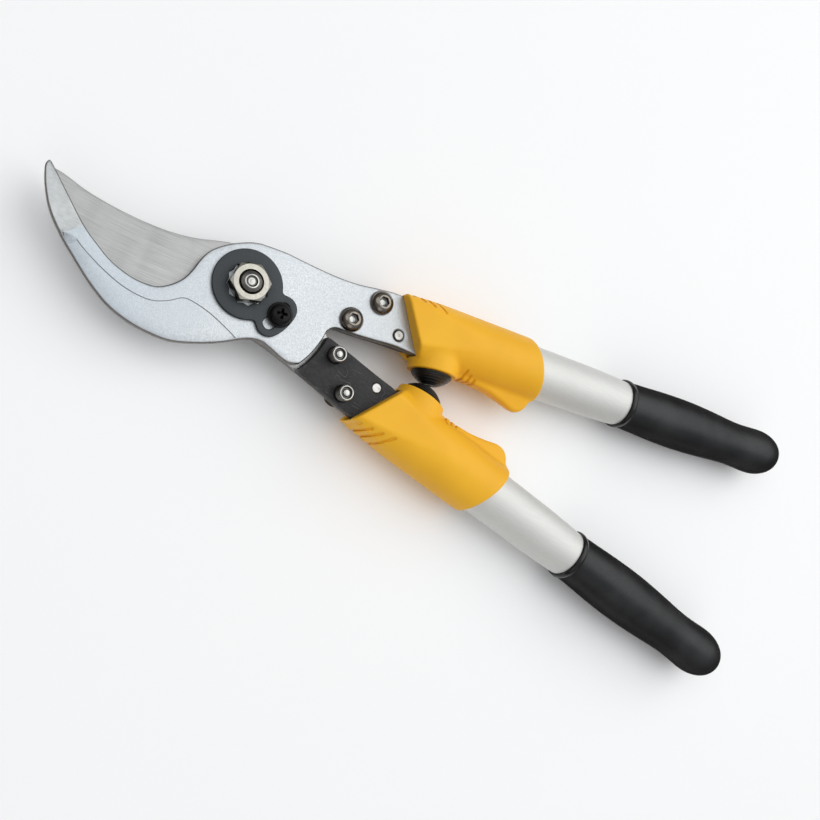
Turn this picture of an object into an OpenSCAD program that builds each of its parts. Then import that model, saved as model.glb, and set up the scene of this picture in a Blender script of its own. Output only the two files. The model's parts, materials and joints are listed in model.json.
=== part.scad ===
// Two-handed bypass pruning shears: a fixed hook jaw on the upper handle and a
// cutting blade on the lower handle, which turn against each other on one bolt.
// Frame: +Z along the pivot bolt towards its nut, +X towards the grips, +Y towards
// the upper handle. The origin is on the pivot axis, at the flat of the bolt's head.
// The shears are drawn closed.

/* [Jaws] */
// Thickness of the hook plate
hook_t = 5.5; // [4.5:0.1:7]
// Thickness of the cutting blade
blade_t = 4; // [3:0.1:5]
// Width of the ground bevel behind the cutting edge
bevel_w = 7; // [4:0.5:9]
// Depth of the lowered belly on the hook's front
belly_drop = 0.6; // [0.3:0.1:1.2]
// Radius of the round lobe behind the pivot
lobe_r = 44.2; // [43:0.1:45]

/* [Pivot] */
// Radius of the pivot bolt's bearing shoulder
shoulder_r = 6; // [5.5:0.1:7]
// Radius of the pivot bolt's thread
thread_r = 4.95; // [4.5:0.05:5.2]
// Radius of the pivot bolt's flat head
pivot_head_r = 10.5; // [9:0.5:12]
// Outer radius of the bearing bush
bush_r = 8; // [7.5:0.1:9]
// Width across the nut's flats
nut_af = 17; // [16:0.5:17]
// Height of the nut
nut_h = 8; // [6:0.5:9]

/* [Lock plate] */
// Radius of the plate's round part
plate_r = 16.9; // [15:0.1:18]
// Thickness of the plate
plate_t = 2; // [1.5:0.1:2.5]
// Radius on which the slot and the lock screw lie
slot_pcr = 20.3; // [19.5:0.1:21]
// Width of the slot
slot_w = 5.8; // [5.4:0.1:6.2]
// Radius of the rounded ends of the plate's lobe
lobe_end_r = 6.6; // [6:0.1:7]
// Angle of the slot's end near the handle
slot_a0 = -6.5; // [-8:0.5:-5]
// Angle of the slot's far end
slot_a1 = -36; // [-38:0.5:-33]
// Angle at which the lock screw stands
screw_a = -17.3; // [-20:0.1:-14]

/* [Handles] */
// Half of the angle between the handles when the shears are closed
handle_a = 9.7; // [9:0.1:10.5]
// Where a handle's axis passes the dowel, along X
handle_x = 80; // [79:0.1:81]
// Where a handle's axis passes the dowel, along Y
handle_y = 22.6; // [22:0.1:23.5]
// Thickness of the bracket plate
bracket_t = 5.5; // [4.5:0.1:6]
// Radius of the bracket's hollow front edge, round the pivot
bracket_arc_r = 46; // [45.6:0.1:47]
// Half width of the bracket's tongue inside the tube
tongue_hw = 11.3; // [9:0.1:11.4]
// Outer radius of the tube
tube_r = 14.5; // [14:0.1:15]
// Radius of the tube's swaged end inside the grip
swage_r = 11; // [10:0.1:11.5]
// Wall of the tube
tube_wall = 1.8; // [1.4:0.1:2]
// Outer radius of the cover's sleeve
sleeve_r = 17.4; // [16.8:0.1:18]
// Distance from the handle's axis to the face of the bumper boss
boss_t = 19.5; // [19:0.1:20]
// Radius of the round boss that carries the bumper
boss_r = 13.4; // [12:0.1:13.6]
// Radius of the rubber bumper
bumper_r = 11; // [10:0.5:12]
// Height of the rubber bumper
bumper_h = 6.7; // [6:0.1:6.8]

/* [Fasteners] */
// Radius of the arm bolts' shanks
arm_bolt_r = 4; // [3:0.5:4]
// Length of the arm bolts under the head
arm_bolt_l = 16; // [14:1:18]
// Radius of the arm bolts' button heads
button_r = 6.3; // [6:0.1:7]
// Radius of the dowels
dowel_r = 2.5; // [2:0.5:3]
// Radius of the lock screw's shank
lock_screw_r = 2.45; // [2:0.05:2.5]

/* [Hidden] */
// Running gap between the two jaws, half on each side of the shear plane
half_gap = 0.05;
// Clearance between parts that fit into each other, and above and below the lock plate
slip = 0.05;
plate_gap = 0.1;
// Height of the plane in which the jaws meet
shear_z = 9;
washer_t = 1.1;
pivot_head_h = shear_z - half_gap - blade_t - 0.15 - washer_t;
lock_washer_t = 1;
// Half the distance between the flats that keep the pivot bolt from turning in the hook
flat_hw = 5;
// Turn of the nut and of the star opening round it
nut_a = 23;
star_a = 25;
// Radius of the rivets and of the bumpers' studs
pin_r = 2.5;
// Points that a smooth curve gets between two given ones
steps = 4;
arm_bolt_at = [[53, 10], [64, 25.6]];
dowel_at = [79.4, 15];
// Where the tube begins and ends, and where the bracket's tongue ends, along the handle
tube_u0 = 16;
tube_u1 = 258;
tongue_u1 = 50;
rivet_u = [31, 44];
stud_u = 23.5;
pocket_u1 = 15;
// Where the arms end inside the cover's pocket
arm_end_u = 12;
// Where the cover's slanted back end meets the axis, and its angle
cover_u1 = 81;
cover_cut_a = 18.6;
// Half length of blocks that cut right through a part
far = 60;
fine = 96;

// One point of a smooth curve between b and c
function curve_at(a, b, c, d, t) =
    0.5 * (2*b + (c - a)*t + (2*a - 5*b + 4*c - d)*t*t + (3*b - a - 3*c + d)*t*t*t);
// A smooth open curve through the given points
function smooth(p, n = steps) = let (e = len(p) - 1)
    [for (i = [0:e - 1], j = [0:n - 1])
        curve_at(p[max(i - 1, 0)], p[i], p[i + 1], p[min(i + 2, e)], j/n), p[e]];
function arc(r, a0, a1, n) = [for (i = [0:n]) let (a = a0 + (a1 - a0)*i/n) [r*cos(a), r*sin(a)]];
function flip(p) = [for (q = p) [q[0], -q[1]]];
function backwards(p) = [for (i = [len(p) - 1:-1:0]) p[i]];
// A point given along and across the handle's axis
function on_axis(u, t) = [handle_x + u*cos(handle_a) - t*sin(handle_a),
                          handle_y + u*sin(handle_a) + t*cos(handle_a)];

// Outline of an arm: its inner edge up to the lobe, and its outer edge from the head
arm_inner = smooth([on_axis(arm_end_u, -14.4), [80, 9], [70, 6.8], [60, 4.6], [52, 3.3], [48, 2.5],
                    [45.6, 0.9], lobe_r*[cos(2), -sin(2)]], 3);
lobe_edge = arc(lobe_r, -4, -29, 10);
arm_outer = smooth([[0, 22], [10, 23.8], [20, 24.5], [30, 25.3], [40, 26.5], [50, 28.6],
                    [60, 31.7], [70, 34.4], on_axis(arm_end_u, 12.7)], 3);
hook_belly = smooth([lobe_r*[cos(30), -sin(30)], [36, -23.3], [32.3, -24.2], [27.8, -23.5],
                     [21.7, -21.9], [16.6, -21.1], [10, -23.4], [0, -30.4], [-10, -36],
                     [-20, -40], [-30, -41.1], [-40, -40.6], [-50, -38.2], [-60, -33.2],
                     [-70, -26.6], [-80, -19.4], [-88, -12], [-93.5, -4.2], [-97, 2.6],
                     [-97.7, 5.6], [-96.9, 7.4]]);
hook_mouth = smooth([[-95.8, 6.9], [-90, 2.2], [-80, -5.9], [-72, -12], [-65, -16], [-57.5, -19.6],
                     [-50, -21.5], [-43, -22], [-36, -20.8], [-31, -17.2], [-27, -12], [-25, -6.5],
                     [-24, -1], [-22.3, 4.9], [-19.1, 9.7], [-13.7, 14.9], [-6.8, 19.6], [-2, 21.6]]);
belly_line = smooth([[-80, -19.4], [-76, -16.4], [-70, -20], [-60, -24.2], [-50, -27.1],
                     [-41, -28], [-34, -27], [-28, -23.6], [-23.5, -19.8], [-19, -19], [-10, -20.1],
                     [0, -23], [6, -25.2], [7, -25.8]]);
cut_edge = smooth([[-20, -19.5], [-25, -22], [-32, -25], [-40, -26.6], [-50, -26], [-60, -22.6],
                   [-70, -17], [-80, -9.5], [-88, -2], [-94, 4.8]]);
blade_spine = smooth([[-95, 6.4], [-90, 6.3], [-80, 4.6], [-70, 4], [-60, 4.2], [-50, 5], [-40, 6.6],
                      [-30, 9.5], [-20, 13.9], [-12, 17], [-4, 19.2], [6, 20.5], [16.6, 20.9],
                      [27.8, 22.9], [32.3, 23.7], [36, 22.9], lobe_r*[cos(30), sin(30)]]);
blade_heel = smooth([[0, -20.7], [-7, -20.3], [-14, -19.2]], 2);
// Lower edge of the blade's tang, from the bracket to the heel
tang_outer = smooth([on_axis(arm_end_u, 11.4), [70, 32.5], [60, 30.1], [50, 27.5], [40, 25.2], [30, 23.2],
                     [20, 21.3], [10, 20.4], [0, 20.7]], 3);
bracket_outer = smooth([[39.4, 26], [48, 27.9], [58, 30.3], [70, 33], on_axis(2, 12.2)], 2);
bracket_tail = [on_axis(9, 12.4), on_axis(15, tongue_hw), on_axis(tongue_u1, tongue_hw),
                on_axis(tongue_u1, -tongue_hw), on_axis(15, -tongue_hw), on_axis(9, -12.6)];
bracket_inner = smooth([on_axis(4, -12.9), [80, 9.6], [70, 7.7], [60, 5.7], [50, 3.9], [47.3, 3.4]], 2);
// Outline of the grip: distance along the handle, then radius
grip_profile = smooth([[152, 14.05], [162, 14.5], [172, 15.05], [182, 15.5], [193, 15.75],
                       [203, 15.65], [213, 15.25], [223, 14.7], [233, 14.05], [242, 13.75],
                       [251, 14.05], [259, 14.5], [265, 14.35], [270.5, 13.1], [275, 10.9],
                       [278.7, 7.4], [280.8, 3.4], [281.3, 0]], 2);
tube_profile = [[tube_u0, tube_r], [120, tube_r - 0.2], [136, tube_r - 0.6], [148, 13.35],
                [165, 12.5], [175, swage_r], [tube_u1, swage_r]];

module on_handle() { translate([handle_x, handle_y, 0]) rotate(handle_a) children(); }
// The lower half of the shears is the upper half turned over about X
module turned_over() { rotate([180, 0, 0]) children(); }
module at_shear() { translate([0, 0, shear_z]) children(); }
// Turns a profile of (length, radius) points about the handle's axis
module along_handle(profile) {
    on_handle() rotate([0, 90, 0]) rotate_extrude($fn = fine) polygon([for (q = profile) [q[1], q[0]]]);
}
module hole_at(p, r, z0, z1) { translate([p[0], p[1], z0]) cylinder(r = r, h = z1 - z0, $fn = 48); }
module ring(r_out, r_in, h) {
    difference() {
        cylinder(r = r_out, h = h, $fn = fine);
        translate([0, 0, -1]) cylinder(r = r_in, h = h + 2, $fn = fine);
    }
}
module double_d(r, hw, h) {
    intersection() {
        cylinder(r = r, h = h, $fn = fine);
        translate([-r, -hw, 0]) cube([2*r, 2*hw, h]);
    }
}

module hook() {
    color("lightsteelblue") difference() {
        translate([0, 0, half_gap]) linear_extrude(hook_t)
            polygon(concat(arm_inner, lobe_edge, hook_belly, hook_mouth, arm_outer));
        translate([0, 0, half_gap + hook_t - belly_drop]) linear_extrude(belly_drop + 1)
            polygon(concat(belly_line, [[30, -60], [-90, -60], [-90, -19.4]]));
        translate([0, 0, half_gap - 1]) double_d(shoulder_r + slip, flat_hw + slip, hook_t + 2);
        for (p = arm_bolt_at) hole_at(p, arm_bolt_r + slip, -1, hook_t + 1);
        hole_at(dowel_at, dowel_r + slip, -1, hook_t + 1);
        hole_at(slot_pcr*[cos(screw_a), sin(screw_a)], lock_screw_r + slip, -1, hook_t + 1);
    }
}

// Wedge that grinds the bevel on the blade's back, one triangle at each point of the edge
module bevel_cutter(edge) {
    e = len(edge) - 1;
    out = 1.2;
    top = -half_gap - 0.35;
    rings = [for (i = [0:e]) let (d = edge[min(i + 1, e)] - edge[max(i - 1, 0)], n = [-d[1], d[0]]/norm(d))
        [[edge[i][0] + n[0]*out, edge[i][1] + n[1]*out, top + out*blade_t/bevel_w],
         [edge[i][0] + n[0]*out, edge[i][1] + n[1]*out, -blade_t - 2],
         [edge[i][0] - n[0]*bevel_w, edge[i][1] - n[1]*bevel_w, -blade_t - 2],
         [edge[i][0] - n[0]*bevel_w, edge[i][1] - n[1]*bevel_w, -blade_t - half_gap - 0.02]]];
    polyhedron([for (r = rings, p = r) p],
        concat([[2, 1, 0], [3, 2, 0]], [[4*e, 4*e + 1, 4*e + 2], [4*e, 4*e + 2, 4*e + 3]],
            [for (i = [0:e - 1], k = [0:3]) [4*i + (k + 1)%4, 4*i + 4 + k, 4*i + k]],
            [for (i = [0:e - 1], k = [0:3]) [4*i + 4 + (k + 1)%4, 4*i + 4 + k, 4*i + (k + 1)%4]]));
}

module cutting_blade() {
    color("darkgray") difference() {
        translate([0, 0, -half_gap - blade_t]) linear_extrude(blade_t)
            polygon(concat(flip(tang_outer), blade_heel, cut_edge, blade_spine,
                           backwards(flip(lobe_edge)), backwards(flip(arm_inner))));
        bevel_cutter(concat(cut_edge, [[-96.4, 8.4]]));
        hole_at([0, 0], bush_r, -blade_t - 1, 1);
        for (p = flip(arm_bolt_at)) hole_at(p, arm_bolt_r + slip, -blade_t - 1, 1);
        hole_at(flip([dowel_at])[0], dowel_r + slip, -blade_t - 1, 1);
    }
}

module pivot_bolt() {
    end_z = half_gap + hook_t + plate_gap + nut_h + 1.4;
    color("silver") difference() {
        union() {
            translate([0, 0, -shear_z]) rotate_extrude($fn = fine)
                polygon([[0, 0], [pivot_head_r - 1.2, 0], [pivot_head_r, 1.2],
                         [pivot_head_r, pivot_head_h], [0, pivot_head_h]]);
            translate([0, 0, pivot_head_h - shear_z])
                cylinder(r = shoulder_r, h = shear_z - pivot_head_h + half_gap, $fn = fine);
            translate([0, 0, half_gap]) double_d(shoulder_r, flat_hw, hook_t - 0.2);
            rotate_extrude($fn = fine)
                polygon([[0, 0], [thread_r, 0], [thread_r, end_z - 0.8], [thread_r - 0.8, end_z],
                         [0, end_z]]);
        }
        translate([0, 0, end_z - 0.7]) cylinder(r1 = 0.8, r2 = 2.2, h = 0.71, $fn = 48);
    }
}
module pivot_bush() {
    color("darkgoldenrod") translate([0, 0, -half_gap - blade_t]) ring(bush_r, shoulder_r + slip, blade_t);
}
module thrust_washer() {
    color("gray") translate([0, 0, pivot_head_h - shear_z]) ring(pivot_head_r, shoulder_r + slip, washer_t);
}
module pivot_nut() {
    corner_r = nut_af/2/cos(30);
    color("gainsboro") translate([0, 0, half_gap + hook_t + plate_gap]) difference() {
        intersection() {
            rotate(nut_a) cylinder(r = corner_r, h = nut_h, $fn = 6);
            rotate_extrude($fn = fine)
                polygon([[0, 0], [nut_af/2 - 0.2, 0], [nut_af/2 + 2, 1.3], [nut_af/2 + 2, nut_h - 1.3],
                         [nut_af/2 - 0.2, nut_h], [0, nut_h]]);
        }
        translate([0, 0, -1]) cylinder(r = thread_r + 0.07, h = nut_h + 2, $fn = fine);
    }
}

// Outline of a curved band with round ends, on the slot's radius
function band(hw) = concat(
    arc(slot_pcr + hw, slot_a1, slot_a0, 8),
    [for (p = arc(hw, 20, 160, 7)) band_end(p, slot_a0)],
    arc(slot_pcr - hw, slot_a0, slot_a1, 8),
    [for (p = arc(hw, 200, 340, 7)) band_end(p, slot_a1)]);
// Point p of a round end, turned to the angle a
function band_end(p, a) = [(slot_pcr + p[0])*cos(a) - p[1]*sin(a), (slot_pcr + p[0])*sin(a) + p[1]*cos(a)];
module banana(hw, h) { linear_extrude(h) polygon(band(hw)); }
module lock_plate() {
    star_r = (nut_af + 0.8)/2/cos(30);
    color("dimgray") translate([0, 0, half_gap + hook_t + plate_gap]) difference() {
        union() {
            cylinder(r = plate_r, h = plate_t, $fn = fine);
            banana(lobe_end_r, plate_t);
        }
        for (a = [star_a, star_a + 30])
            rotate(a) translate([0, 0, -1]) cylinder(r = star_r, h = plate_t + 2, $fn = 6);
        translate([0, 0, -1]) banana(slot_w/2, plate_t + 2);
    }
}
module at_lock_screw() {
    translate([slot_pcr*cos(screw_a), slot_pcr*sin(screw_a), half_gap + hook_t + 2*plate_gap + plate_t])
        children();
}
module lock_screw_washer() { color("black") at_lock_screw() ring(6.1, lock_screw_r + slip, lock_washer_t); }
module lock_screw() {
    head_h = 3.5;
    color("black") at_lock_screw() difference() {
        union() {
            translate([0, 0, lock_washer_t]) rotate_extrude($fn = 64)
                polygon([[0, 0], [5.2, 0], [5.2, 1.6], [4.4, 2.8], [3, 3.3], [0, head_h]]);
            translate([0, 0, -hook_t - plate_t])
                cylinder(r = lock_screw_r, h = hook_t + plate_t + 1.5, $fn = 48);
        }
        for (a = [0, 90]) rotate(a + 15)
            translate([-2.4, -0.55, lock_washer_t + 1.3]) cube([4.8, 1.1, 3]);
    }
}

// Two button-head bolts through an arm and its bracket, drawn for the upper arm
module arm_bolts(arm_t) {
    color("dimgray") for (p = arm_bolt_at) translate([p[0], p[1], half_gap + arm_t]) difference() {
        union() {
            rotate_extrude($fn = 64) polygon([[0, 0], [button_r, 0], [button_r, 0.9], [button_r - 0.7, 2.2],
                                              [4.6, 3.3], [3.2, 4], [0, 4]]);
            translate([0, 0, -arm_bolt_l]) rotate_extrude($fn = 48)
                polygon([[0, 0], [arm_bolt_r - 0.8, 0], [arm_bolt_r, 0.8], [arm_bolt_r, arm_bolt_l + 1],
                         [0, arm_bolt_l + 1]]);
        }
        translate([0, 0, 1.6]) cylinder(r = 2.5/cos(30), h = 3, $fn = 6);
        translate([0, 0, -arm_bolt_l - 0.01]) cylinder(r1 = 1.8, r2 = 1, h = 0.8, $fn = 48);
    }
}
module arm_dowel(arm_t, proud) {
    color("silver") translate([dowel_at[0], dowel_at[1], -bracket_t + half_gap - proud])
        cylinder(r = dowel_r, h = bracket_t + arm_t + 0.25 + proud, $fn = 48);
}

module upper_bracket() {
    front = arc(bracket_arc_r, 4.4, 33, 12);
    color([0.13, 0.13, 0.14]) difference() {
        translate([0, 0, half_gap - bracket_t]) linear_extrude(bracket_t)
            polygon(concat(front, bracket_outer, bracket_tail, bracket_inner));
        for (p = arm_bolt_at) hole_at(p, arm_bolt_r + slip, -bracket_t - 1, 1);
        hole_at(dowel_at, dowel_r + slip, -bracket_t - 1, 1);
        on_handle() for (u = rivet_u) hole_at([u, 0], pin_r + slip, -bracket_t - 1, 1);
    }
}
// Hole for the bumper's stud, drawn on the handle's axis
module stud_bore(depth) {
    translate([stud_u, -boss_t - 1, 0]) rotate([-90, 0, 0]) cylinder(r = pin_r + slip, h = depth, $fn = 48);
}
module upper_tube() {
    inner = [for (q = backwards(tube_profile)) [q[0], q[1] - tube_wall]];
    color("gainsboro") difference() {
        along_handle(concat(tube_profile, inner));
        on_handle() for (u = rivet_u) hole_at([u, 0], pin_r + slip, -20, 20);
        on_handle() stud_bore(boss_t);
    }
}
module upper_tube_core() {
    core_r = tube_r - tube_wall - 0.1;
    color("ivory") difference() {
        on_handle() translate([tube_u0 + 2, 0, 0]) rotate([0, 90, 0])
            cylinder(r = core_r, h = tongue_u1 - tube_u0 + 4, $fn = fine);
        on_handle() translate([tube_u0, -tongue_hw - slip, half_gap - bracket_t - slip])
            cube([tongue_u1 - tube_u0 + slip, 2*(tongue_hw + slip), bracket_t + 2*slip]);
        on_handle() for (u = rivet_u) hole_at([u, 0], pin_r + slip, -20, 20);
        on_handle() stud_bore(boss_t);
    }
}
module upper_tube_rivets() {
    color("silver") on_handle() intersection() {
        for (u = rivet_u) hole_at([u, 0], pin_r, -20, 20);
        translate([tube_u0, 0, 0]) rotate([0, 90, 0]) cylinder(r = tube_r - 0.15, h = 60, $fn = fine);
    }
}

// Plastic cover: a sleeve round the tube, flattened towards the front over the plates, with
// a boss for the bumper and a guard for the fingers
module upper_cover() {
    outline = [[-5, 13.8], [4, 15], [14, 16.3], [24, 17.3], [30, 18], [98, 18], [98, -18],
               [20, -18], [14, -15.9], [10, -15]];
    side = [[-10, -12.5], [42, -17.7], [98, -17.7], [98, 17.7], [42, 17.7], [-10, 12.5]];
    fin = [[34, -10], [34, -18.3], [40, -18.6], [48, -18.8], [57, -20], [67, -22.8], [74, -25],
           [78.5, -25.3], [81.5, -23.8], [83.8, -20.6], [85, -17.6], [85.6, -15], [83, -10]];
    color("orange") on_handle() difference() {
        union() {
            intersection() {
                translate([-10, 0, 0]) rotate([0, 90, 0]) cylinder(r = sleeve_r, h = 108, $fn = fine);
                translate([0, 0, -20]) linear_extrude(40) polygon(outline);
                rotate([90, 0, 0]) translate([0, 0, -far/2]) linear_extrude(far) polygon(side);
                translate([cover_u1, 0, -far/2]) rotate(cover_cut_a) translate([-2*far, -far, 0])
                    cube([2*far, 2*far, far]);
            }
            translate([stud_u, -boss_t, 0]) rotate([-90, 0, 0]) cylinder(r = boss_r, h = 9, $fn = fine);
            translate([0, 0, -5]) linear_extrude(10) polygon(fin);
        }
        translate([pocket_u1 - 3, 0, 0]) rotate([0, 90, 0]) cylinder(r = tube_r + slip, h = 90, $fn = fine);
        translate([-20, -14.5, -bracket_t - slip]) cube([pocket_u1 + 20, 28, 2*(bracket_t + 2*slip)]);
        translate([8, -11.5, -11]) cube([5.5, 23, 22]);
        stud_bore(boss_t);
    }
}
module at_boss() { on_handle() translate([stud_u, -boss_t, 0]) rotate([90, 0, 0]) children(); }
module upper_bumper() {
    color([0.06, 0.06, 0.06]) at_boss() difference() {
        rotate_extrude($fn = fine)
            polygon([[0, 0], [bumper_r - 0.6, 0], [bumper_r, 0.6], [bumper_r - 0.2, 1.6], [9.6, 3],
                     [7.8, 4.6], [5.8, 5.9], [3.5, bumper_h], [0, bumper_h]]);
        translate([0, 0, -1]) cylinder(r = pin_r + slip, h = 2, $fn = 48);
        translate([0, 0, 1 - slip]) cylinder(r = 6 + slip, h = 1.5 + 2*slip, $fn = 64);
    }
}
module upper_bumper_stud() {
    color("silver") at_boss() {
        translate([0, 0, 1]) cylinder(r = 6, h = 1.5, $fn = 64);
        translate([0, 0, -7.7]) cylinder(r = pin_r, h = 8.8, $fn = 48);
    }
}
module upper_grip() {
    loose = 2*slip;
    lip = [[147, 13.4 + loose], [147, 14.2], [148, 14.6], [150, 14.6], [151, 14.1]];
    inside = [[tube_u1 + 1, 0], [tube_u1 + 1, swage_r + loose], [175, swage_r + loose],
              [165, 12.5 + loose], [148, 13.35 + loose]];
    color([0.2, 0.2, 0.2]) along_handle(concat(lip, grip_profile, inside));
}

at_shear() hook();
at_shear() cutting_blade();
at_shear() pivot_bolt();
at_shear() pivot_bush();
at_shear() thrust_washer();
at_shear() pivot_nut();
at_shear() lock_plate();
at_shear() lock_screw();
at_shear() lock_screw_washer();
at_shear() arm_bolts(hook_t);  // hook_arm_bolts
at_shear() turned_over() arm_bolts(blade_t);  // blade_arm_bolts
at_shear() arm_dowel(hook_t, 0);  // hook_arm_dowel
at_shear() turned_over() arm_dowel(blade_t - 0.25, 0.25);  // blade_arm_dowel
at_shear() upper_bracket();
at_shear() turned_over() upper_bracket();  // lower_bracket
at_shear() upper_tube();
at_shear() turned_over() upper_tube();  // lower_tube
at_shear() upper_tube_core();
at_shear() turned_over() upper_tube_core();  // lower_tube_core
at_shear() upper_tube_rivets();
at_shear() turned_over() upper_tube_rivets();  // lower_tube_rivets
at_shear() upper_cover();
at_shear() turned_over() upper_cover();  // lower_cover
at_shear() upper_bumper();
at_shear() turned_over() upper_bumper();  // lower_bumper
at_shear() upper_bumper_stud();
at_shear() turned_over() upper_bumper_stud();  // lower_bumper_stud
at_shear() upper_grip();
at_shear() turned_over() upper_grip();  // lower_grip
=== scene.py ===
import json
import math

import bpy
import numpy as np
from mathutils import Matrix, Vector
from mathutils.geometry import delaunay_2d_cdt


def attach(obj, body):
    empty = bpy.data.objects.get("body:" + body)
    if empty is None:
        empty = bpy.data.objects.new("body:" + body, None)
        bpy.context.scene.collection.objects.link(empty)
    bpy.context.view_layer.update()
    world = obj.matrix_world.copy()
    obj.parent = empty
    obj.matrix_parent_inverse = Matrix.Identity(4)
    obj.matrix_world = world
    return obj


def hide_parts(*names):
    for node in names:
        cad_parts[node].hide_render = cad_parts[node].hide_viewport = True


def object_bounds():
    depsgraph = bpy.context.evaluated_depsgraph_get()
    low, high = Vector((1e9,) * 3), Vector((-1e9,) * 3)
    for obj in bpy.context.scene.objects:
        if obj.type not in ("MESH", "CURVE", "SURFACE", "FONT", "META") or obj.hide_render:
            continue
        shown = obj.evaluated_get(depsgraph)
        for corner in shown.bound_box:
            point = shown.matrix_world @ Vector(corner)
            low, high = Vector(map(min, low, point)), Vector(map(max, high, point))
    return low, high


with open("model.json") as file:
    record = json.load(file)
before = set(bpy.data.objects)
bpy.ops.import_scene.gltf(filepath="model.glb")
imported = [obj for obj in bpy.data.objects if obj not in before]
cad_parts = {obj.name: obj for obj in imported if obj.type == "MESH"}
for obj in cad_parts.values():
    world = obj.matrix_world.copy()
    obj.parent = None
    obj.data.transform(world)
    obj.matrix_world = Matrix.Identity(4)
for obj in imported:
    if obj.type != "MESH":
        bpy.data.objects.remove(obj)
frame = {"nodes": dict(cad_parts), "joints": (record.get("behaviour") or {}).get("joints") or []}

MM = 0.001
cad_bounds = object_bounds()
SHEAR_Z = [j for j in frame["joints"] if j["name"] == "jaw_pivot"][0]["pos_m"][2] / MM

# ---------------------------------------------------------------- sizes shared with the CAD
HOOK_T, BLADE_T, BRACKET_T = 5.5, 4.0, 5.5
HALF_GAP = 0.05
HANDLE_TILT = math.radians(9.7)
HANDLE_AT = (80.0, 22.6)
LOBE_R, BRACKET_ARC_R = 44.2, 46.0
PLATE_R, PLATE_T, PLATE_GAP = 16.9, 2.0, 0.1
SLOT_PCR, SLOT_W, LOBE_END_R = 20.3, 5.8, 6.6
SLOT_ANGLES = (-36.0, -6.5)
SCREW_ANGLE, SCREW_R = -17.3, 2.5
NUT_AF, NUT_H, NUT_TURN = 17.0, 8.0, 23.0
STAR_TURN, STAR_AF = 25.0, 17.8
ARM_BOLTS = ((53, 10), (64, 25.6))
ARM_BOLT_R, ARM_BOLT_L, BUTTON_R = 4.0, 16.0, 6.3
DOWEL_AT, DOWEL_R = (79.4, 15.0), 2.5
TUBE_R, TUBE_WALL = 14.5, 1.8
SLEEVE_R, BOSS_T, BOSS_U, BOSS_R = 17.4, 19.5, 23.5, 13.4
BUMPER_R, BUMPER_H = 11.0, 6.7
PIVOT_R, BUSH_R = 6.0, 8.0
PIVOT_HEAD_R, PIVOT_HEAD_H = 10.5, 3.7
HOOK_FRONT = HALF_GAP + HOOK_T
PLATE_BACK = HOOK_FRONT + PLATE_GAP

# ---------------------------------------------------------------- handles and arms
# The name, body and whether it is the turned-over lower one, with an arm's thickness second
SIDES = (("upper", "hook_handle", False), ("lower", "blade_handle", True))
ARMS = (("hook", HOOK_T, "hook_handle", False), ("blade", BLADE_T, "blade_handle", True))


# ---------------------------------------------------------------- outlines
def smooth(points, n=6):
    """A smooth open curve through the given points."""
    p = np.asarray(points, float)
    out = []
    for i in range(len(p) - 1):
        a, b, c, d = p[max(i - 1, 0)], p[i], p[i + 1], p[min(i + 2, len(p) - 1)]
        for t in np.arange(n) / n:
            straight = 2*b + (c - a)*t
            bend = (2*a - 5*b + 4*c - d)*t*t
            out.append(0.5 * (straight + bend + (3*b - a - 3*c + d)*t**3))
    return np.array(out + [p[-1]])


def arc(r, a0, a1, n, centre=(0, 0)):
    a = np.radians(np.linspace(a0, a1, n))
    return np.stack([centre[0] + r*np.cos(a), centre[1] + r*np.sin(a)], 1)


def circle(x, y, r, n=40):
    return arc(r, 0, 360 - 360/n, n, (x, y))


def polar(r, degrees):
    return r*np.array([math.cos(math.radians(degrees)), math.sin(math.radians(degrees))])


def on_axis(u, t):
    """A point given along and across the upper handle's axis."""
    c, s = math.cos(HANDLE_TILT), math.sin(HANDLE_TILT)
    return [HANDLE_AT[0] + u*c - t*s, HANDLE_AT[1] + u*s + t*c]


def on_handle(u, t, z):
    """Points given along, across and above the upper handle's axis."""
    return np.stack([*on_axis(u, t), z], 1)


def flip(points):
    return np.asarray(points) * (1, -1)


def area(loop):
    x, y = loop[:, 0], loop[:, 1]
    return 0.5 * np.sum(x*np.roll(y, -1) - np.roll(x, -1)*y)


def closed_line(loop):
    """The loop as a line that ends on its first point."""
    return np.vstack([loop, loop[:1]])


def tidy_loop(loop):
    """Drops points that repeat their neighbour, and turns the loop anticlockwise."""
    loop = np.asarray(loop, float)
    keep = np.linalg.norm(loop - np.roll(loop, 1, 0), axis=1) > 0.02
    loop = loop[keep]
    return loop if area(loop) > 0 else loop[::-1]


def rounded(loop, step=0.5, passes=6):
    """Evenly spaced points along a closed loop, with its corners softened."""
    loop = closed_line(loop)
    along = np.concatenate([[0], np.cumsum(np.linalg.norm(np.diff(loop, axis=0), axis=1))])
    s = np.linspace(0, along[-1], max(12, int(along[-1] / step)), endpoint=False)
    out = np.stack([np.interp(s, along, loop[:, k]) for k in (0, 1)], 1)
    for _ in range(passes):
        out = 0.25*np.roll(out, 1, 0) + 0.5*out + 0.25*np.roll(out, -1, 0)
    return out


def inset(loop, d):
    """Moves a closed loop by d to its left."""
    edge = np.roll(loop, -1, 0) - loop
    left = np.stack([-edge[:, 1], edge[:, 0]], 1) / np.linalg.norm(edge, axis=1)[:, None]
    corner = left + np.roll(left, 1, 0)
    corner /= np.maximum(np.linalg.norm(corner, axis=1), 1e-6)[:, None]
    grow = 1 / np.clip(np.sum(corner*left, axis=1), 0.6, 1)
    return loop + corner * (d*grow)[:, None]


def beside(line, d):
    """An open line moved by d to its right."""
    run = np.gradient(line, axis=0)
    run /= np.linalg.norm(run, axis=1)[:, None]
    return line + d*np.stack([run[:, 1], -run[:, 0]], 1)


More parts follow.
